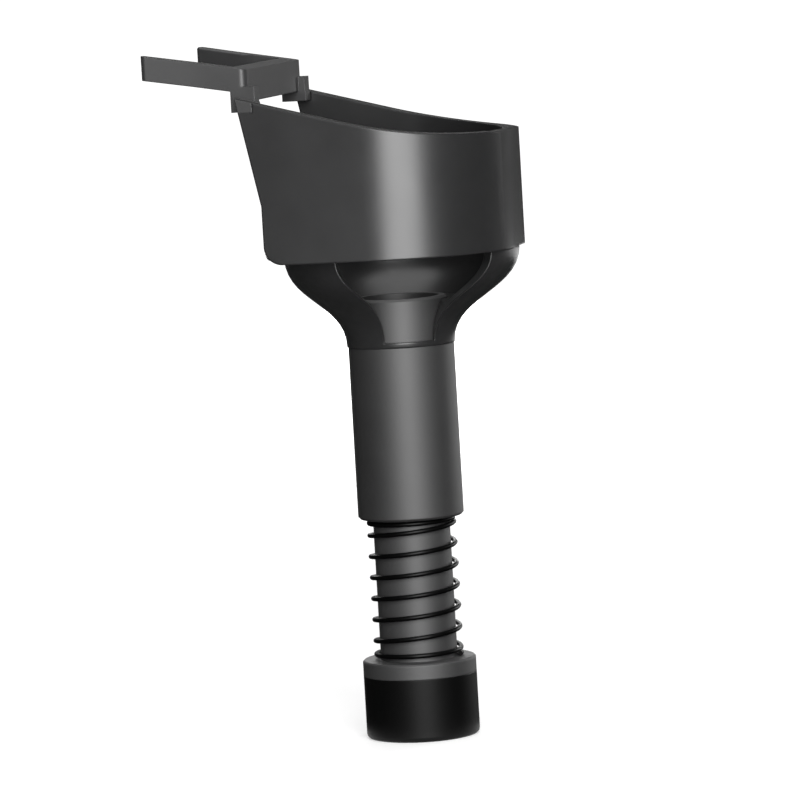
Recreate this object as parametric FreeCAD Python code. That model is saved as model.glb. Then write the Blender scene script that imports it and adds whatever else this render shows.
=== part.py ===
import FreeCAD, Part
import math
import os

# Sprung landing gear leg for a small aircraft's arm, in millimetres.
# The leg's axis is Z. The origin is the middle of the pod socket, on the ledge that the pod stands on.
# +X points outboard and -X towards the aircraft's body, where the arm leaves the socket.

# Pod socket and its walls
socket_r = 12.85
socket_relief = 0.25
socket_wall = 2.2
socket_depth = 12.9
ledge_thick = 1.4
sill_height = 5.3
rim_fall_deg = 3.3
rim_rise_deg = 14.9
rim_turn_x = 4.2
rim_blend = 7.0
wall_reach_rim = 14.2
wall_reach_sill = 11.8
outboard_flat = 0.8
saddle_corner_r = 2.1
rim_notch_width = 1.0
rim_notch_depth = 0.7
rim_notch_drop = 1.2

# Flare between the socket and the tube
flare_height = 10.7
flare_inset = 1.45
flare_shift = 0.7
flare_wall = 1.7
flare_fullness = 0.48
flare_bands = 14
neck_step = 0.12
cavity_depth = 5.6
cavity_bands = 6

# Light window in the front of the flare
window_turn_deg = -67.0
window_top_half = 10.1
window_foot_half = 3.2
window_inner_top_half = 7.6
window_inner_foot_half = 2.9
window_foot_margin = 0.6
window_draft_depth = 5.4
window_lip_upper = 0.48
window_inner_upper = 0.28
window_lower = 0.5

# Tube
tube_r = 6.12
tube_wall = 1.62
tube_length = 20.0
spigot_step = 0.52
spigot_length = 5.5
spigot_wall = 1.0
partition_thick = 2.0
tube_end_round = 0.25
press_gap = 0.02

# Plunger, its screw and its travel
guide_gap = 0.05
travel = 7.5
stop_gap = 0.1
end_gap = 0.4
flange_thick = 1.8
foot_r = 6.57
foot_length = 7.3
foot_round = 0.55
foot_round_steps = 3
foot_wall = 1.9
peg_length = 4.6
bead_height = 0.9
bead_rise = 0.3
bead_inset = 0.8
screw_r = 1.0
screw_hole_gap = 0.5
screw_grip = 6.0
screw_head_r = 1.9
screw_head_height = 1.3
screw_recess_r = 0.75
screw_recess_depth = 0.7
washer_r = 3.1
washer_thick = 0.5
edge_break = 0.2

# Spring. Its wire is six-sided here, with the round wire's section area.
wire_r = 0.28
wire_sides = 6
spring_gap = 0.19
spring_length = 16.5
working_turns = 6.0
seat_gap = 0.02

# Clip over the arm
clip_gap = 0.1
clip_height = 2.75
clip_slope_deg = 9.9
clip_thick = 2.0
clip_bridge_x = 13.15
clip_lift = 0.75
prong_reach = 12.4
prong_tip_length = 6.0
prong_tip_deg = 8.0
prong_end_r = 0.5
clip_corner_r = 0.9
bridge_drop = 0.9
lug_length = 2.0
lug_drop = 1.05
peg_r = 0.5
peg_drop = 1.6
post_overlap = 1.0

# Levels and radii that follow from the sizes above
cup_r = socket_r + socket_wall
throat_r = socket_r + socket_relief
flat_x = cup_r - outboard_flat
cup_bottom = -ledge_thick
flare_bottom = cup_bottom - flare_height
flare_top_r = cup_r - flare_inset
neck_r = tube_r + neck_step
cavity_floor = cup_bottom - cavity_depth
tube_top = flare_bottom + spigot_length
tube_bottom = flare_bottom - tube_length
spigot_r = tube_r - spigot_step
tube_upper_bore_r = spigot_r - spigot_wall
guide_r = tube_r - tube_wall
rod_r = guide_r - guide_gap
flange_top = tube_bottom - spring_length
flange_bottom = flange_top - flange_thick
foot_bottom = flange_bottom - foot_length
rim_fall = math.tan(math.radians(rim_fall_deg))
rim_rise = math.tan(math.radians(rim_rise_deg))
clip_slope = math.tan(math.radians(clip_slope_deg))
clip_half_width = throat_r - clip_gap
beyond = 3 * cup_r


def vec(x, y, z):
    return FreeCAD.Vector(x, y, z)


def cylinder(radius, low, high, x=0.0, y=0.0):
    return Part.makeCylinder(radius, high - low, vec(x, y, low))


def block(x0, x1, y0, y1, z0, z1):
    return Part.makeBox(x1 - x0, y1 - y0, z1 - z0, vec(x0, y0, z0))


def turned(points):
    """Solid of revolution about Z from a closed outline of (radius, height) points."""
    outline = Part.makePolygon([vec(r, 0, z) for r, z in points + points[:1]])
    return Part.Face(outline).revolve(vec(0, 0, 0), vec(0, 0, 1), 360)


def side_plate(points, y0, y1):
    """Plate between two Y planes from a closed outline of (x, z) points."""
    outline = Part.makePolygon([vec(x, y0, z) for x, z in points + points[:1]])
    return Part.Face(outline).extrude(vec(0, y1 - y0, 0))


def rim_z(x):
    """Height of the socket's rim: nearly level outboard, rising inboard, with a soft bend between."""
    outboard = socket_depth - rim_fall * x
    past_bend = rim_turn_x + rim_blend - x
    if past_bend <= 0:
        return outboard
    steeper = rim_rise - rim_fall
    if past_bend < 2 * rim_blend:
        return outboard + steeper * past_bend ** 2 / (4 * rim_blend)
    return outboard + steeper * (rim_turn_x - x)


def flare_point(t):
    """Outer radius and height of the flare at t from 0 (top) to 1 (neck), on an S curve."""
    handle = flare_fullness * flare_height
    radii = (flare_top_r, flare_top_r, neck_r, neck_r)
    heights = (cup_bottom, cup_bottom - handle, flare_bottom + handle, flare_bottom)
    weights = ((1 - t) ** 3, 3 * t * (1 - t) ** 2, 3 * t * t * (1 - t), t ** 3)
    radius = sum(w * r for w, r in zip(weights, radii))
    height = sum(w * z for w, z in zip(weights, heights))
    return radius, height


def flare_radius_at(height):
    """Outer radius of the flare at a height, found by halving the range of t."""
    low, high = 0.0, 1.0
    while high - low > 1e-9:
        middle = (low + high) / 2
        if flare_point(middle)[1] > height:
            low = middle
        else:
            high = middle
    return flare_point(low)[0]


def flare_centre(radius):
    """The wide end of the flare stands outboard of the leg's axis; the neck is on it."""
    return flare_shift * (radius - neck_r) / (flare_top_r - neck_r)


def ring_wire(radius, height, x):
    return Part.Wire(Part.Circle(vec(x, 0, height), vec(0, 0, 1), radius).toShape())


def flare_solid():
    wires = []
    for i in range(flare_bands + 1):
        radius, height = flare_point(i / flare_bands)
        wires.append(ring_wire(radius, height, flare_centre(radius)))
    return Part.makeLoft(wires, True, True)


def flare_cavity():
    """Funnel under the ledge, one wall inside the flare, with a flat floor round the tube's mouth."""
    wires = [ring_wire(flare_top_r - flare_wall, 0.0, flare_shift)]
    for i in range(cavity_bands + 1):
        height = cup_bottom - cavity_depth * i / cavity_bands
        radius = flare_radius_at(height)
        wires.append(ring_wire(radius - flare_wall, height, flare_centre(radius)))
    return Part.makeLoft(wires, True, True)


def cup_outside():
    """Round cup with straight side walls that run on inboard, cut to its side view."""
    top = rim_z(-wall_reach_rim)
    round_part = cylinder(cup_r, cup_bottom, top)
    upper = block(-wall_reach_rim, 0, -cup_r, cup_r, sill_height, top)
    corner = saddle_corner_r
    half_way = corner * (1 - math.sqrt(0.5))

    def at(x, z):
        return vec(x, -beyond, z)

    def rounded_foot(x):
        """Arc from the underside up to an inboard end at x."""
        start, end = at(x + corner, cup_bottom), at(x, cup_bottom + corner)
        return Part.Arc(start, at(x + half_way, cup_bottom + half_way), end).toShape()

    foot_side = Part.makePolygon([at(-wall_reach_sill, cup_bottom + corner), at(-wall_reach_sill, sill_height),
                                  at(0, sill_height), at(0, cup_bottom), at(corner - wall_reach_sill, cup_bottom)])
    foot_face = Part.Face(Part.Wire(foot_side.Edges + [rounded_foot(-wall_reach_sill)]))
    width = block(-beyond, beyond, -cup_r, cup_r, -beyond, beyond)
    lower = foot_face.extrude(vec(0, 2 * beyond, 0)).common(width)
    body = round_part.fuse([lower, upper])

    bend_start = at(rim_turn_x + rim_blend, rim_z(rim_turn_x + rim_blend))
    bend_end = at(rim_turn_x - rim_blend, rim_z(rim_turn_x - rim_blend))
    bend = Part.BezierCurve()
    bend.setPoles([bend_start, at(rim_turn_x, socket_depth - rim_fall * rim_turn_x), bend_end])
    outboard = Part.makePolygon([at(corner - cup_r, cup_bottom), at(flat_x, cup_bottom),
                                 at(flat_x, rim_z(flat_x)), bend_start])
    inboard = Part.makePolygon([bend_end, at(-wall_reach_rim, top), at(-wall_reach_sill, sill_height),
                                at(-cup_r, sill_height), at(-cup_r, cup_bottom + corner)])
    outline = Part.Wire(outboard.Edges + [bend.toShape()] + inboard.Edges + [rounded_foot(-cup_r)])
    return body.common(Part.Face(outline).extrude(vec(0, 2 * beyond, 0)))


def window_cutter():
    """Tapered cutter for the light window, wide at the lips and narrow at the tube."""
    turn = math.radians(window_turn_deg)
    out = vec(math.cos(turn), math.sin(turn), 0)
    side = vec(-math.sin(turn), math.cos(turn), 0)
    foot = flare_bottom + window_foot_margin
    height = cup_bottom - foot

    def outline(top_half, foot_half, depth, upper_handle):
        def place(s, z):
            return out * depth + side * s + vec(0, 0, z)

        edges = []
        for sign in (1, -1):
            top_s, foot_s = sign * top_half, sign * foot_half
            poles = [place(top_s, cup_bottom), place(top_s, cup_bottom - upper_handle * height),
                     place(foot_s, foot + window_lower * height), place(foot_s, foot)]
            curve = Part.BezierCurve()
            curve.setPoles(poles if sign == 1 else poles[::-1])
            edges.append(curve.toShape())
        across_foot = Part.makeLine(place(foot_half, foot), place(-foot_half, foot))
        across_top = Part.makeLine(place(-top_half, cup_bottom), place(top_half, cup_bottom))
        return Part.Wire([edges[0], across_foot, edges[1], across_top])

    outer = outline(window_top_half, window_foot_half, cup_r, window_lip_upper)
    inner = outline(window_inner_top_half, window_inner_foot_half, window_draft_depth, window_inner_upper)
    return Part.makeLoft([outer, inner], True, True)


def wall_end_x(z):
    """Slanted end of the side walls, from the sill up to the rim."""
    share = (z - sill_height) / (rim_z(-wall_reach_rim) - sill_height)
    return -(wall_reach_sill + share * (wall_reach_rim - wall_reach_sill))


def lug_shoulder_x():
    """Shoulder on each side wall where the clip's lug ends."""
    return -(wall_reach_rim - lug_length)


def lug_floor():
    return rim_z(lug_shoulder_x()) - lug_drop


def lug_peg_place():
    return lug_shoulder_x() - lug_length / 2, (throat_r + cup_r) / 2


def leg_housing():
    body = cup_outside().fuse(flare_solid())
    body = body.cut(cylinder(socket_r, 0.0, sill_height))
    body = body.cut(cylinder(throat_r, sill_height, beyond))
    body = body.cut(block(-beyond, 0, -throat_r, throat_r, sill_height, beyond))
    body = body.cut(flare_cavity())
    body = body.cut(cylinder(spigot_r + press_gap, flare_bottom, cavity_floor))
    body = body.cut(window_cutter())
    peg_x, peg_y = lug_peg_place()
    for sign in (1, -1):
        body = body.cut(block(-beyond, lug_shoulder_x(), min(0, sign * beyond), max(0, sign * beyond),
                              lug_floor(), beyond))
        body = body.cut(cylinder(peg_r + press_gap, lug_floor() - peg_drop, beyond, peg_x, sign * peg_y))
        notch = math.degrees(math.acos(flat_x / cup_r)) * sign
        cutter = block(throat_r - rim_notch_depth, throat_r + rim_notch_depth, -rim_notch_width / 2,
                       rim_notch_width / 2, rim_z(throat_r) - rim_notch_drop, beyond)
        cutter.rotate(vec(0, 0, 0), vec(0, 0, 1), notch)
        body = body.cut(cutter)
    return body.removeSplitter()


def partition_levels():
    """Top and bottom of the tube's partition, low enough for the screw head's whole travel."""
    top = tube_top - travel - washer_thick - screw_head_height - end_gap
    return top, top - partition_thick


def rod_top():
    return partition_levels()[1] - travel - end_gap


def leg_tube():
    partition_top, partition_bottom = partition_levels()
    r = tube_end_round
    return turned([(guide_r, tube_bottom), (tube_r - r, tube_bottom), (tube_r, tube_bottom + r),
                   (tube_r, flare_bottom), (spigot_r, flare_bottom), (spigot_r, tube_top - r),
                   (spigot_r - r, tube_top), (tube_upper_bore_r, tube_top),
                   (tube_upper_bore_r, partition_top),
                   (screw_r + screw_hole_gap, partition_top), (screw_r + screw_hole_gap, partition_bottom),
                   (guide_r, partition_bottom)])


def plunger():
    top = rod_top()
    peg = foot_r - foot_wall
    bead_low = flange_bottom - peg_length + bead_inset
    body = turned([(0, top), (rod_r - edge_break, top), (rod_r, top - edge_break), (rod_r, flange_top),
                   (foot_r - edge_break, flange_top), (foot_r, flange_top - edge_break),
                   (foot_r, flange_bottom),
                   (peg, flange_bottom), (peg, bead_low + bead_height),
                   (peg + bead_rise, bead_low + bead_height / 2), (peg, bead_low),
                   (peg, flange_bottom - peg_length + edge_break),
                   (peg - edge_break, flange_bottom - peg_length), (0, flange_bottom - peg_length)])
    return body.cut(cylinder(screw_r, top - screw_grip, top))


def rubber_foot():
    peg = foot_r - foot_wall + press_gap
    bead_low = flange_bottom - peg_length + bead_inset
    pocket_low = flange_bottom - peg_length - press_gap
    rounding = []
    for i in range(foot_round_steps + 1):
        a = math.pi / 2 * i / foot_round_steps
        inset, rise = foot_round * (1 - math.sin(a)), foot_round * (1 - math.cos(a))
        rounding.append((foot_r - inset, foot_bottom + rise))
    outside = turned([(0, foot_bottom)] + rounding + [(foot_r, flange_bottom), (0, flange_bottom)])
    pocket = turned([(0, flange_bottom), (peg, flange_bottom), (peg, bead_low + bead_height),
                     (peg + bead_rise, bead_low + bead_height / 2), (peg, bead_low), (peg, pocket_low),
                     (0, pocket_low)])
    return outside.cut(pocket)


def screw_washer():
    seat = partition_levels()[0] + stop_gap
    disc = cylinder(washer_r, seat, seat + washer_thick)
    return disc.cut(cylinder(screw_r + press_gap, seat, seat + washer_thick))


def retaining_screw():
    seat = partition_levels()[0] + stop_gap + washer_thick
    tip = rod_top() - screw_grip
    body = turned([(0, tip), (screw_r - press_gap, tip), (screw_r - press_gap, seat), (screw_head_r, seat),
                   (screw_head_r, seat + screw_head_height - 2 * edge_break),
                   (screw_head_r - 2 * edge_break, seat + screw_head_height), (0, seat + screw_head_height)])
    top = seat + screw_head_height
    low = top - screw_recess_depth
    corners = []
    for i in range(7):
        a = math.radians(60 * i)
        corners.append(vec(screw_recess_r * math.cos(a), screw_recess_r * math.sin(a), low))
    return body.cut(Part.Face(Part.makePolygon(corners)).extrude(vec(0, 0, 2 * screw_recess_depth)))


def coil_spring():
    """Wire on three helices in one line: a closed turn, the working turns and a closed turn."""
    radius = rod_r + spring_gap + wire_r
    closed_pitch = 2 * wire_r + seat_gap
    low = flange_top + wire_r + seat_gap
    working_height = spring_length - 2 * (wire_r + seat_gap) - 2 * closed_pitch
    stretches = ((closed_pitch, closed_pitch), (working_height / working_turns, working_height),
                 (closed_pitch, closed_pitch))
    edges = []
    turned_deg = 0.0
    z = low
    for pitch, height in stretches:
        helix = Part.makeHelix(pitch, height, radius)
        helix.rotate(vec(0, 0, 0), vec(0, 0, 1), turned_deg)
        helix.translate(vec(0, 0, z))
        edges.extend(helix.Edges)
        turned_deg += 360 * height / pitch
        z += height
    corner_r = wire_r * math.sqrt(2 * math.pi / (wire_sides * math.sin(2 * math.pi / wire_sides)))
    corners = []
    for i in range(wire_sides + 1):
        a = 2 * math.pi * i / wire_sides
        corners.append(vec(radius + corner_r * math.cos(a), 0, low + corner_r * math.sin(a)))
    return Part.Wire(edges).makePipeShell([Part.makePolygon(corners)], True, True)


def clip_plan(u_of_bend):
    """U-shaped plan of the clip, from the bridge's outboard face, with prong tips that splay outwards."""
    half = clip_half_width
    splay = math.radians(prong_tip_deg)
    along = vec(-math.cos(splay), math.sin(splay), 0)
    across = vec(math.sin(splay), math.cos(splay), 0)
    inner_bend = vec(-clip_bridge_x - u_of_bend, half - clip_thick, 0)
    outer_bend = vec(-clip_bridge_x - u_of_bend + clip_thick * math.tan(splay / 2), half, 0)
    inner_end = inner_bend + along * prong_tip_length
    side = [vec(-clip_bridge_x, half, 0), outer_bend, inner_end + across * clip_thick, inner_end, inner_bend,
            vec(-clip_bridge_x - clip_thick, half - clip_thick, 0)]
    mirrored = [vec(p.x, -p.y, 0) for p in reversed(side)]
    plan = Part.Face(Part.makePolygon(side + mirrored + side[:1])).extrude(vec(0, 0, beyond))

    def upright(edge):
        return edge.BoundBox.ZLength > beyond / 2

    def at_tip(edge):
        return edge.BoundBox.XMax < inner_bend.x - prong_tip_length / 2

    tips = [e for e in plan.Edges if upright(e) and at_tip(e)]
    plan = plan.makeFillet(prong_end_r, tips)
    corners = [e for e in plan.Edges if upright(e) and e.BoundBox.XMin > -clip_bridge_x - edge_break]
    return plan.makeFillet(clip_corner_r, corners)


def arm_clip():
    half = clip_half_width
    base_z = rim_z(-clip_bridge_x) + clip_lift

    def underside(x):
        return base_z + clip_slope * (-clip_bridge_x - x)

    def sloping_slab(x0, x1, low, high):
        return side_plate([(x0, underside(x0) + low), (x1, underside(x1) + low),
                           (x1, underside(x1) + high), (x0, underside(x0) + high)], -beyond, beyond)

    back = -clip_bridge_x - clip_thick
    plan = clip_plan(prong_reach - prong_tip_length)
    body = plan.common(sloping_slab(-beyond, 0, 0.0, clip_height))
    top = max(body.Faces, key=lambda face: face.CenterOfMass.z)
    body = body.makeChamfer(edge_break, top.OuterWire.Edges)
    body = body.fuse(plan.common(sloping_slab(back, -clip_bridge_x, -bridge_drop, bridge_drop)))
    peg_x, peg_y = lug_peg_place()
    front = lug_shoulder_x() - press_gap
    for sign in (1, -1):
        inner, outer = sorted((sign * (half - clip_thick), sign * half))
        post = block(back, lug_shoulder_x() - clip_gap, inner, outer, lug_floor(),
                     underside(lug_shoulder_x()) + post_overlap)
        lug_low, lug_high = sorted((sign * (half - clip_thick), sign * cup_r))
        lug = side_plate([(front, lug_floor()), (front, rim_z(front)),
                          (-wall_reach_rim, rim_z(-wall_reach_rim)), (wall_end_x(lug_floor()), lug_floor())],
                         lug_low, lug_high)
        peg = cylinder(peg_r, lug_floor() - peg_drop + press_gap, lug_floor(), peg_x, sign * peg_y)
        body = body.fuse([post, lug, peg])
    return body.removeSplitter()


os.makedirs("parts", exist_ok=True)
nodes = {
    "leg_housing": leg_housing,
    "leg_tube": leg_tube,
    "arm_clip": arm_clip,
    "plunger": plunger,
    "rubber_foot": rubber_foot,
    "coil_spring": coil_spring,
    "screw_washer": screw_washer,
    "retaining_screw": retaining_screw,
}
for name, make in nodes.items():
    shape = make()
    shape.exportStep("parts/" + name + ".step")
    print(name, len(shape.Solids), "solids, valid", shape.isValid(), "volume", round(shape.Volume, 1))
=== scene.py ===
import math
import bmesh
import bpy
from mathutils import Matrix, Vector


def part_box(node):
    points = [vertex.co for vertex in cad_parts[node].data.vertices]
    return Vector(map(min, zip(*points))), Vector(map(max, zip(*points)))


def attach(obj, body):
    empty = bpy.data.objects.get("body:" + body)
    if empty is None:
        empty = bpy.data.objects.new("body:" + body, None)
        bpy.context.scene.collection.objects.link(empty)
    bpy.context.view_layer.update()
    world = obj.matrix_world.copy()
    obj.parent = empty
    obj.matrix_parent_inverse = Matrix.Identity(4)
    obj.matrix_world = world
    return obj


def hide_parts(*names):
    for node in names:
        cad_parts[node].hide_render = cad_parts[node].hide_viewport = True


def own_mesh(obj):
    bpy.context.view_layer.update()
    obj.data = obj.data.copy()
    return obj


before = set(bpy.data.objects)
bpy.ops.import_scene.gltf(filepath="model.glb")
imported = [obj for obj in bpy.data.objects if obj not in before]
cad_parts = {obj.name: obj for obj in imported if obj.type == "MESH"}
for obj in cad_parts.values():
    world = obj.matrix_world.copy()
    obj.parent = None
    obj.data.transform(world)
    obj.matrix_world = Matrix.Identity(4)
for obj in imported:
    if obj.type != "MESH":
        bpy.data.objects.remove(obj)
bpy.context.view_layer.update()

scene = bpy.context.scene

# Camera: a long lens that looks a little down on the leg, with the leg leaning in its picture
CAMERA_TURN = math.radians(13.0)
CAMERA_DISTANCE = 0.630
CAMERA_HEIGHT = 0.0408
AIM = Vector((-0.0005, -0.0001, -0.0186))
PICTURE_WIDTH = 0.0924
CAMERA_ROLL = math.radians(-3.33)
SENSOR = 36.0

# Lamps: turns are in degrees from the camera's side, and all lamps face the socket
SOCKET = Vector((0.0, 0.0, 0.0))
KEY_TURN, KEY_DISTANCE = 6.0, 0.30
KEY_WIDTH, KEY_HEIGHT, KEY_POWER = 0.18, 0.46, 3.1
TOP_HEIGHT, TOP_SIZE, TOP_POWER = 0.7, 0.6, 2.0
REAR_DISTANCE, REAR_RISE, REAR_HEIGHT = 0.62, 0.12, 0.34
RIGHT_TURN, RIGHT_WIDTH, RIGHT_POWER = 130, 0.16, 1.4
BACK_TURN, BACK_WIDTH, BACK_POWER = -176, 0.36, 3.0
FILL = 0.20

# Far flags and the table flag, which lies just above the floor with a hole for the foot
FLAG_GREY = 0.03
FLAG_DISTANCE, FLAG_TOP = 0.28, 0.60
BAY_TURN = 6
TABLE_HOLE, TABLE_LIFT = 0.0085, 0.0005

# Near flags: name, first and last turn, low and high edge, grey
NEAR_FLAG = 0.10
NEAR_FLAGS = (
    ("cup flag", 112, 172, -0.012, 0.12, FLAG_GREY),
    ("rim flag", 172, 206, 0.006, 0.12, 0.10),
    ("flange flag", 150, 210, -0.052, -0.037, FLAG_GREY),
    ("spring flag", 170, 210, -0.037, -0.008, FLAG_GREY),
    ("wall flag", -60, -8, -0.010, 0.12, FLAG_GREY),
)

# Floor: its own white and its lit white add up to just over 1 in the open
FLOOR_SIZE = 12.0
FLOOR_OWN, FLOOR_LIT = 0.42, 0.60
FLOOR_NEAR, FLOOR_FAR = 0.12, 0.45

# Plastics and rubber: clouds in tone and gloss, grain and soft edges, in metres
CLOUD_SCALE = 180.0
CLOUD_DARK, CLOUD_LIGHT, CLOUD_GLOSS = 0.92, 1.08, 0.03
GRAIN_SIZE, GRAIN_DEPTH = 0.0004, 0.00002
SOFT_EDGE = 0.00018

# Steel of the screw and washer
STEEL_RINGS = 2200.0
STEEL_DARK, STEEL_LIGHT = (0.40, 0.40, 0.41, 1.0), (0.50, 0.50, 0.51, 1.0)
STEEL_SMOOTH, STEEL_ROUGH = 0.30, 0.42

# Light window of the flare: the way it faces, and the depth of its flat back from the leg's axis
WINDOW_TURN = math.radians(-67.0)
WINDOW_DEPTH, WINDOW_SLACK = 0.0054, 0.00005
SAME_WAY = 0.999
CUT_RISE, CUT_DEPTH = 0.0003, 0.0024

# Joining of points, removal of slivers, and the bend in degrees from which an edge is sharp
JOIN, WELD, SLIVER = 1e-7, 0.000002, 0.000001
SHARP_BEND = 28.0

# Spring, in metres. The solid's wire is six-sided with a point outwards, so it is wider than it is high.
SPRING_WIRE = 0.00028
WIRE_SIDES = 20
CLOSED_GAP = 0.00002
SIX_SIDED_REACH = SPRING_WIRE * math.sqrt(2 * math.pi / (6 * math.sin(math.radians(60))))
SIX_SIDED_RISE = SIX_SIDED_REACH * math.sin(math.radians(60))
CLOSED_TURNS = 1.0
WORKING_TURNS = 6.0
SPRING_STEPS = 96


def from_camera(turn, distance, height):
    """A place round the leg, turned from the camera's side: positive is to the right in the picture."""
    angle = CAMERA_TURN + math.radians(turn)
    return Vector((distance * math.sin(angle), -distance * math.cos(angle), height))


def aim_camera():
    data = bpy.data.cameras.new("long lens")
    camera = bpy.data.objects.new("camera", data)
    scene.collection.objects.link(camera)
    place = from_camera(0.0, CAMERA_DISTANCE, CAMERA_HEIGHT)
    away = AIM - place
    data.sensor_width = SENSOR
    data.lens = SENSOR * away.length / PICTURE_WIDTH
    data.clip_start, data.clip_end = 0.01, 20.0
    turn = away.to_track_quat("-Z", "Y").to_matrix().to_4x4() @ Matrix.Rotation(CAMERA_ROLL, 4, "Z")
    camera.matrix_world = Matrix.Translation(place) @ turn
    scene.camera = camera


def soft_box(name, place, width, height, power):
    data = bpy.data.lights.new(name, "AREA")
    data.shape = "RECTANGLE"
    data.size, data.size_y = width, height
    data.energy = power
    lamp = bpy.data.objects.new(name, data)
    turn = (SOCKET - place).to_track_quat("-Z", "Y").to_matrix().to_4x4()
    lamp.matrix_world = Matrix.Translation(place) @ turn
    scene.collection.objects.link(lamp)


def flag_card(name, corners, faces, grey):
    """A studio flag: a grey card out of view that only gloss sees, to keep the plastic's sides dark."""
    mesh = bpy.data.meshes.new(name)
    mesh.from_pydata(corners, [], faces)
    mat = bpy.data.materials.new(name)
    mat.use_nodes = True
    tree = mat.node_tree
    tree.nodes.clear()
    out = tree.nodes.new("ShaderNodeOutputMaterial")
    card = tree.nodes.new("ShaderNodeEmission")
    card.inputs["Color"].default_value = (grey, grey, grey, 1.0)
    tree.links.new(card.outputs[0], out.inputs["Surface"])
    mesh.materials.append(mat)
    flag = bpy.data.objects.new(name, mesh)
    scene.collection.objects.link(flag)
    flag.visible_camera = False
    flag.visible_diffuse = False
    flag.visible_transmission = False
    flag.visible_shadow = False


def swept_flag(name, first_turn, last_turn, start, end, grey=FLAG_GREY):
    """A card swept round the leg between two (distance, height) places: upright, lying or sloping."""
    bays = max(2, round(abs(last_turn - first_turn) / BAY_TURN))
    near, far = [], []
    for i in range(bays + 1):
        turn = first_turn + (last_turn - first_turn) * i / bays
        near.append(from_camera(turn, *start))
        far.append(from_camera(turn, *end))
    flag_card(name, near + far, [(i, i + 1, bays + 2 + i, bays + 1 + i) for i in range(bays)], grey)


def white_to_the_eye(tree, others):
    """Mixes a white for what camera, gloss and glass see, linked in later, with a shader for other rays."""
    nodes, links = tree.nodes, tree.links
    path = nodes.new("ShaderNodeLightPath")
    camera_or_gloss = nodes.new("ShaderNodeMath")
    camera_or_gloss.operation = "MAXIMUM"
    links.new(path.outputs["Is Camera Ray"], camera_or_gloss.inputs[0])
    links.new(path.outputs["Is Glossy Ray"], camera_or_gloss.inputs[1])
    seen = nodes.new("ShaderNodeMath")
    seen.operation = "MAXIMUM"
    links.new(camera_or_gloss.outputs[0], seen.inputs[0])
    links.new(path.outputs["Is Transmission Ray"], seen.inputs[1])
    pick = nodes.new("ShaderNodeMixShader")
    links.new(seen.outputs[0], pick.inputs[0])
    links.new(others.outputs[0], pick.inputs[1])
    return pick


def light_the_room():
    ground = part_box("rubber_foot")[0].z
    key_place = from_camera(KEY_TURN, KEY_DISTANCE, 0.0)
    right_place = from_camera(RIGHT_TURN, REAR_DISTANCE, REAR_RISE)
    back_place = from_camera(BACK_TURN, REAR_DISTANCE, REAR_RISE)
    soft_box("key box", key_place, KEY_WIDTH, KEY_HEIGHT, KEY_POWER)
    soft_box("top box", Vector((0.0, 0.0, TOP_HEIGHT)), TOP_SIZE, TOP_SIZE, TOP_POWER)
    soft_box("right rear box", right_place, RIGHT_WIDTH, REAR_HEIGHT, RIGHT_POWER)
    soft_box("back box", back_place, BACK_WIDTH, REAR_HEIGHT, BACK_POWER)
    swept_flag("left flag", -22, -158, (FLAG_DISTANCE, ground), (FLAG_DISTANCE, FLAG_TOP))
    swept_flag("right flag", 32, 127, (FLAG_DISTANCE, ground), (FLAG_DISTANCE, FLAG_TOP))
    for name, first_turn, last_turn, low, high, grey in NEAR_FLAGS:
        swept_flag(name, first_turn, last_turn, (NEAR_FLAG, low), (NEAR_FLAG, high), grey)
    lifted = ground + TABLE_LIFT
    swept_flag("table flag", 0, 360, (TABLE_HOLE, lifted), (FLAG_DISTANCE, lifted))
    world = bpy.data.worlds.new("studio")
    scene.world = world
    world.use_nodes = True
    tree = world.node_tree
    tree.nodes.clear()
    out = tree.nodes.new("ShaderNodeOutputWorld")
    fill = tree.nodes.new("ShaderNodeBackground")
    fill.inputs["Color"].default_value = (1.0, 1.0, 1.0, 1.0)
    fill.inputs["Strength"].default_value = FILL
    pick = white_to_the_eye(tree, fill)
    white = tree.nodes.new("ShaderNodeBackground")
    white.inputs["Color"].default_value = (1.0, 1.0, 1.0, 1.0)
    white.inputs["Strength"].default_value = 1.0
    tree.links.new(white.outputs[0], pick.inputs[2])
    tree.links.new(pick.outputs[0], out.inputs["Surface"])


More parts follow.
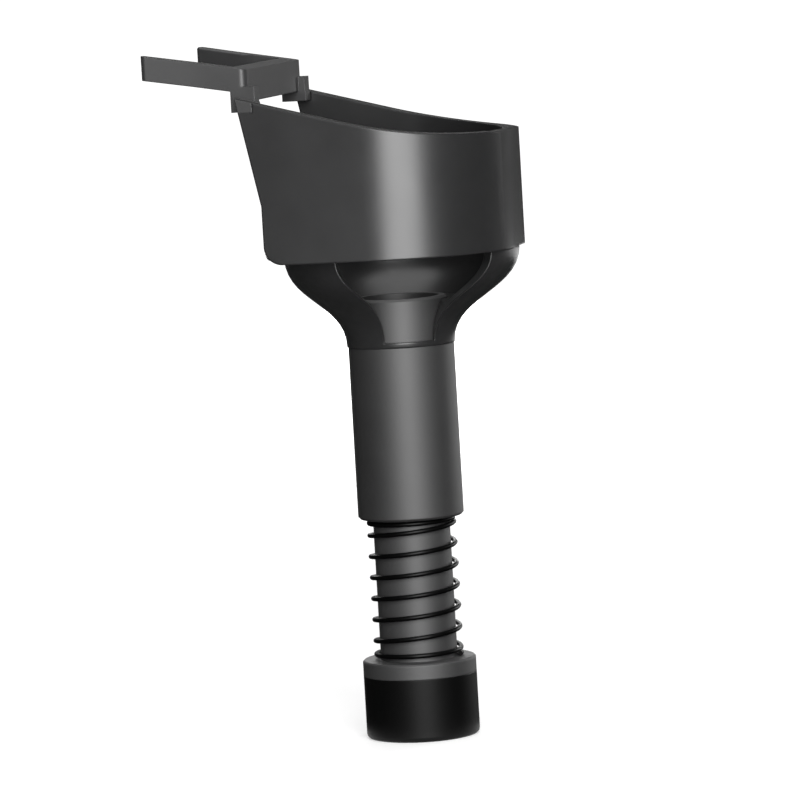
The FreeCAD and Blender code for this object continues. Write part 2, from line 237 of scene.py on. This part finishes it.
def moulded(name, colour, roughness, specular, grain=0.0, edge=SOFT_EDGE):
    """Moulded plastic or rubber: softened edges, fine grain, and faint clouds in colour and gloss."""
    mat = bpy.data.materials.new(name)
    mat.use_nodes = True
    tree = mat.node_tree
    shader = tree.nodes["Principled BSDF"]
    shader.inputs["Specular IOR Level"].default_value = specular
    coord = tree.nodes.new("ShaderNodeTexCoord")
    cloud = tree.nodes.new("ShaderNodeTexNoise")
    cloud.inputs["Scale"].default_value = CLOUD_SCALE
    cloud.inputs["Detail"].default_value = 3.0
    tree.links.new(coord.outputs["Object"], cloud.inputs["Vector"])
    shade = tree.nodes.new("ShaderNodeValToRGB")
    shade.color_ramp.elements[0].position = 0.3
    shade.color_ramp.elements[1].position = 0.7
    shade.color_ramp.elements[0].color = tuple(c * CLOUD_DARK for c in colour) + (1.0,)
    shade.color_ramp.elements[1].color = tuple(c * CLOUD_LIGHT for c in colour) + (1.0,)
    tree.links.new(cloud.outputs["Fac"], shade.inputs["Fac"])
    tree.links.new(shade.outputs["Color"], shader.inputs["Base Color"])
    gloss = tree.nodes.new("ShaderNodeMapRange")
    gloss.inputs["To Min"].default_value = roughness - CLOUD_GLOSS
    gloss.inputs["To Max"].default_value = roughness + CLOUD_GLOSS
    tree.links.new(cloud.outputs["Fac"], gloss.inputs["Value"])
    tree.links.new(gloss.outputs["Result"], shader.inputs["Roughness"])
    sparks = tree.nodes.new("ShaderNodeTexNoise")
    sparks.inputs["Scale"].default_value = 1.0 / GRAIN_SIZE
    sparks.inputs["Detail"].default_value = 2.0
    tree.links.new(coord.outputs["Object"], sparks.inputs["Vector"])
    bump = tree.nodes.new("ShaderNodeBump")
    bump.inputs["Strength"].default_value = grain
    bump.inputs["Distance"].default_value = GRAIN_DEPTH
    tree.links.new(sparks.outputs["Fac"], bump.inputs["Height"])
    soft_edge = tree.nodes.new("ShaderNodeBevel")
    soft_edge.samples = 8
    soft_edge.inputs["Radius"].default_value = edge
    tree.links.new(soft_edge.outputs["Normal"], bump.inputs["Normal"])
    tree.links.new(bump.outputs["Normal"], shader.inputs["Normal"])
    return mat


def turned_steel(name):
    """Plain steel for the screw and washer: fine rings round the leg's axis and a faint change of tone."""
    mat = bpy.data.materials.new(name)
    mat.use_nodes = True
    tree = mat.node_tree
    shader = tree.nodes["Principled BSDF"]
    shader.inputs["Metallic"].default_value = 1.0
    coord = tree.nodes.new("ShaderNodeTexCoord")
    rings = tree.nodes.new("ShaderNodeTexWave")
    rings.wave_type = "RINGS"
    rings.rings_direction = "Z"
    rings.inputs["Scale"].default_value = STEEL_RINGS
    rings.inputs["Distortion"].default_value = 1.5
    rings.inputs["Detail"].default_value = 2.0
    tree.links.new(coord.outputs["Object"], rings.inputs["Vector"])
    tone = tree.nodes.new("ShaderNodeValToRGB")
    tone.color_ramp.elements[0].color = STEEL_DARK
    tone.color_ramp.elements[1].color = STEEL_LIGHT
    tree.links.new(rings.outputs["Fac"], tone.inputs["Fac"])
    tree.links.new(tone.outputs["Color"], shader.inputs["Base Color"])
    gloss = tree.nodes.new("ShaderNodeMapRange")
    gloss.inputs["To Min"].default_value = STEEL_SMOOTH
    gloss.inputs["To Max"].default_value = STEEL_ROUGH
    tree.links.new(rings.outputs["Fac"], gloss.inputs["Value"])
    tree.links.new(gloss.outputs["Result"], shader.inputs["Roughness"])
    return mat


def coil_tree(wire):
    """Geometry Nodes: a wire wound up a rod, with a closed turn at each end."""
    tree = bpy.data.node_groups.new("wound spring", "GeometryNodeTree")
    names = ("Turns", "Wire Radius", "Coil Radius", "Low", "High", "Closed Pitch")
    tree.interface.new_socket("Geometry", in_out="OUTPUT", socket_type="NodeSocketGeometry")
    for name in names:
        tree.interface.new_socket(name, in_out="INPUT", socket_type="NodeSocketFloat")
    tree.interface.new_socket("Steps", in_out="INPUT", socket_type="NodeSocketInt")
    nodes, links = tree.nodes, tree.links
    given = nodes.new("NodeGroupInput")
    out = nodes.new("NodeGroupOutput")

    def maths(operation, a, b=None):
        node = nodes.new("ShaderNodeMath")
        node.operation = operation
        for socket, value in zip(node.inputs, (a, b)):
            if value is None:
                continue
            if isinstance(value, (int, float)):
                socket.default_value = value
            else:
                links.new(value, socket)
        return node.outputs[0]

    line = nodes.new("GeometryNodeMeshLine")
    line.mode = "OFFSET"
    count = maths("ADD", maths("MULTIPLY", given.outputs["Turns"], given.outputs["Steps"]), 1.0)
    links.new(count, line.inputs["Count"])
    index = nodes.new("GeometryNodeInputIndex")
    turn = maths("DIVIDE", index.outputs[0], given.outputs["Steps"])
    angle = maths("MULTIPLY", turn, 2 * math.pi)
    pitch = given.outputs["Closed Pitch"]
    first = maths("MINIMUM", turn, CLOSED_TURNS)
    last_start = maths("SUBTRACT", given.outputs["Turns"], CLOSED_TURNS)
    last = maths("MAXIMUM", maths("SUBTRACT", turn, last_start), 0.0)
    middle = maths("SUBTRACT", maths("SUBTRACT", turn, first), last)
    full_height = maths("SUBTRACT", given.outputs["High"], given.outputs["Low"])
    working_height = maths("SUBTRACT", full_height, maths("MULTIPLY", pitch, 2 * CLOSED_TURNS))
    working_turns = maths("SUBTRACT", given.outputs["Turns"], 2 * CLOSED_TURNS)
    share = maths("DIVIDE", middle, working_turns)
    climbed = maths("MULTIPLY", working_height, share)
    closed = maths("MULTIPLY", maths("ADD", first, last), pitch)
    height = maths("ADD", given.outputs["Low"], maths("ADD", climbed, closed))
    x = maths("MULTIPLY", maths("COSINE", angle), given.outputs["Coil Radius"])
    y = maths("MULTIPLY", maths("SINE", angle), given.outputs["Coil Radius"])
    place = nodes.new("ShaderNodeCombineXYZ")
    links.new(x, place.inputs["X"])
    links.new(y, place.inputs["Y"])
    links.new(height, place.inputs["Z"])
    wind = nodes.new("GeometryNodeSetPosition")
    links.new(line.outputs["Mesh"], wind.inputs["Geometry"])
    links.new(place.outputs["Vector"], wind.inputs["Position"])
    curve = nodes.new("GeometryNodeMeshToCurve")
    links.new(wind.outputs["Geometry"], curve.inputs["Mesh"])
    circle = nodes.new("GeometryNodeCurvePrimitiveCircle")
    circle.inputs["Resolution"].default_value = WIRE_SIDES
    links.new(given.outputs["Wire Radius"], circle.inputs["Radius"])
    sweep = nodes.new("GeometryNodeCurveToMesh")
    sweep.inputs["Fill Caps"].default_value = True
    links.new(curve.outputs["Curve"], sweep.inputs["Curve"])
    links.new(circle.outputs["Curve"], sweep.inputs["Profile Curve"])
    realize = nodes.new("GeometryNodeRealizeInstances")
    links.new(sweep.outputs["Mesh"], realize.inputs["Geometry"])
    finish = nodes.new("GeometryNodeSetMaterial")
    finish.inputs["Material"].default_value = wire
    links.new(realize.outputs["Geometry"], finish.inputs["Geometry"])
    links.new(finish.outputs["Geometry"], out.inputs["Geometry"])
    return tree


def made_mesh(name, tree, values):
    """Runs a Geometry Nodes tree once and keeps its result as a plain mesh."""
    start = bpy.data.objects.new(name + " start", bpy.data.meshes.new(name + " start"))
    scene.collection.objects.link(start)
    modifier = start.modifiers.new("nodes", "NODES")
    modifier.node_group = tree
    for item in tree.interface.items_tree:
        if item.in_out == "INPUT" and item.name in values:
            modifier[item.identifier] = values[item.name]
    start.update_tag()
    graph = bpy.context.evaluated_depsgraph_get()
    mesh = bpy.data.meshes.new_from_object(start.evaluated_get(graph), depsgraph=graph)
    bpy.data.objects.remove(start)
    piece = bpy.data.objects.new(name, mesh)
    scene.collection.objects.link(piece)
    return piece


def wind_spring(wire):
    low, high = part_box("coil_spring")
    radius = (high.x - low.x) / 2 - SIX_SIDED_REACH
    spring = made_mesh("wound_spring", coil_tree(wire), {
        "Turns": WORKING_TURNS + 2 * CLOSED_TURNS,
        "Wire Radius": SPRING_WIRE,
        "Coil Radius": radius,
        "Low": low.z + SIX_SIDED_RISE,
        "High": high.z - SIX_SIDED_RISE,
        "Closed Pitch": 2 * SPRING_WIRE + CLOSED_GAP,
        "Steps": SPRING_STEPS,
    })
    for face in spring.data.polygons:
        face.use_smooth = True
    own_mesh(spring)
    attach(spring, "strut")
    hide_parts("coil_spring")


def lay_floor():
    """A white floor that keeps the leg's soft shadow: part of its white is its own, the rest is lit."""
    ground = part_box("rubber_foot")[0].z
    corners = [(x * FLOOR_SIZE, y * FLOOR_SIZE, ground) for x, y in ((-1, -1), (1, -1), (1, 1), (-1, 1))]
    mesh = bpy.data.meshes.new("floor")
    mesh.from_pydata(corners, [], [(0, 1, 2, 3)])
    floor = bpy.data.objects.new("floor", mesh)
    scene.collection.objects.link(floor)
    mat = bpy.data.materials.new("white floor")
    mat.use_nodes = True
    tree = mat.node_tree
    tree.nodes.clear()
    out = tree.nodes.new("ShaderNodeOutputMaterial")
    lit = tree.nodes.new("ShaderNodeBsdfDiffuse")
    lit.inputs["Color"].default_value = (FLOOR_LIT, FLOOR_LIT, FLOOR_LIT, 1.0)
    own = tree.nodes.new("ShaderNodeEmission")
    own.inputs["Color"].default_value = (1.0, 1.0, 1.0, 1.0)
    coord = tree.nodes.new("ShaderNodeTexCoord")
    reach = tree.nodes.new("ShaderNodeVectorMath")
    reach.operation = "LENGTH"
    tree.links.new(coord.outputs["Object"], reach.inputs[0])
    grow = tree.nodes.new("ShaderNodeMapRange")
    grow.interpolation_type = "SMOOTHSTEP"
    grow.inputs["From Min"].default_value = FLOOR_NEAR
    grow.inputs["From Max"].default_value = FLOOR_FAR
    grow.inputs["To Min"].default_value = FLOOR_OWN
    grow.inputs["To Max"].default_value = 1.0
    tree.links.new(reach.outputs["Value"], grow.inputs["Value"])
    tree.links.new(grow.outputs["Result"], own.inputs["Strength"])
    both = tree.nodes.new("ShaderNodeAddShader")
    tree.links.new(lit.outputs[0], both.inputs[0])
    tree.links.new(own.outputs[0], both.inputs[1])
    pick = white_to_the_eye(tree, lit)
    tree.links.new(both.outputs[0], pick.inputs[2])
    tree.links.new(pick.outputs[0], out.inputs["Surface"])
    mesh.materials.append(mat)


def dress(node, material):
    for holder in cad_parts[node].material_slots:
        holder.material = material


def merged_copy(node, name):
    """A node's solid as an object of its own, with its loose triangles joined."""
    form = bmesh.new()
    form.from_mesh(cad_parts[node].data)
    bmesh.ops.remove_doubles(form, verts=form.verts, dist=JOIN)
    mesh = bpy.data.meshes.new(name)
    form.to_mesh(mesh)
    form.free()
    for key in ("custom_normal", "sharp_face", "sharp_edge"):
        if key in mesh.attributes:
            mesh.attributes.remove(mesh.attributes[key])
    piece = bpy.data.objects.new(name, mesh)
    scene.collection.objects.link(piece)
    return piece


def open_window(piece):
    """Cuts the two flat strips beside the tongue away, so that the window's sides end on the tube itself."""
    outwards = Vector((math.cos(WINDOW_TURN), math.sin(WINDOW_TURN), 0.0))
    form = bmesh.new()
    form.from_mesh(piece.data)
    others = [face for face in form.faces if face.normal.dot(outwards) < SAME_WAY
              or abs(face.calc_center_median().dot(outwards) - WINDOW_DEPTH) > WINDOW_SLACK]
    bmesh.ops.delete(form, geom=others, context="FACES")
    bmesh.ops.translate(form, verts=form.verts, vec=outwards * CUT_RISE)
    back = bmesh.ops.extrude_face_region(form, geom=form.faces[:], use_keep_orig=True)
    moved = [item for item in back["geom"] if isinstance(item, bmesh.types.BMVert)]
    bmesh.ops.translate(form, verts=moved, vec=-outwards * CUT_DEPTH)
    bmesh.ops.recalc_face_normals(form, faces=form.faces)
    mesh = bpy.data.meshes.new("window strips")
    form.to_mesh(mesh)
    form.free()
    strips = bpy.data.objects.new("window strips", mesh)
    scene.collection.objects.link(strips)
    cut = piece.modifiers.new("cut", "BOOLEAN")
    cut.operation = "DIFFERENCE"
    cut.solver = "EXACT"
    cut.object = strips
    graph = bpy.context.evaluated_depsgraph_get()
    opened = bpy.data.meshes.new_from_object(piece.evaluated_get(graph), depsgraph=graph)
    piece.modifiers.remove(cut)
    form = bmesh.new()
    form.from_mesh(opened)
    bmesh.ops.remove_doubles(form, verts=form.verts, dist=WELD)
    bmesh.ops.dissolve_degenerate(form, edges=form.edges, dist=SLIVER)
    form.to_mesh(opened)
    form.free()
    piece.data = opened
    bpy.data.objects.remove(strips)


def finish_smooth(piece, material):
    """One material all over, shaded smooth over the small bends."""
    mesh = piece.data
    mesh.materials.clear()
    mesh.materials.append(material)
    mesh.polygons.foreach_set("material_index", [0] * len(mesh.polygons))
    mesh.shade_smooth()
    mesh.set_sharp_from_angle(angle=math.radians(SHARP_BEND))


aim_camera()
light_the_room()
lay_floor()
housing = moulded("satin dark grey moulding", (0.013, 0.013, 0.0133), 0.31, 0.45, grain=0.12, edge=0.0003)
tube = moulded("satin grey moulding", (0.008, 0.008, 0.0082), 0.60, 1.0, grain=0.12)
clip = moulded("mid grey clip moulding", (0.02, 0.02, 0.0204), 0.42, 0.5, grain=0.12)
rod = moulded("mid grey moulding", (0.015, 0.015, 0.0153), 0.60, 0.95, grain=0.12)
rubber = moulded("black rubber", (0.0012, 0.0012, 0.0012), 0.46, 0.15, grain=0.2)
steel = turned_steel("plain steel")
wire = moulded("black coated wire", (0.001, 0.001, 0.001), 0.35, 0.12, edge=0.00002)
moulding = merged_copy("leg_housing", "moulded_housing")
open_window(moulding)
finish_smooth(moulding, housing)
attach(moulding, "strut")
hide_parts("leg_housing")
bridge = merged_copy("arm_clip", "moulded_clip")
finish_smooth(bridge, clip)
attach(bridge, "strut")
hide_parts("arm_clip")
dress("leg_tube", tube)
dress("plunger", rod)
dress("rubber_foot", rubber)
dress("screw_washer", steel)
dress("retaining_screw", steel)
wind_spring(wire)

scene.view_settings.view_transform = "Standard"
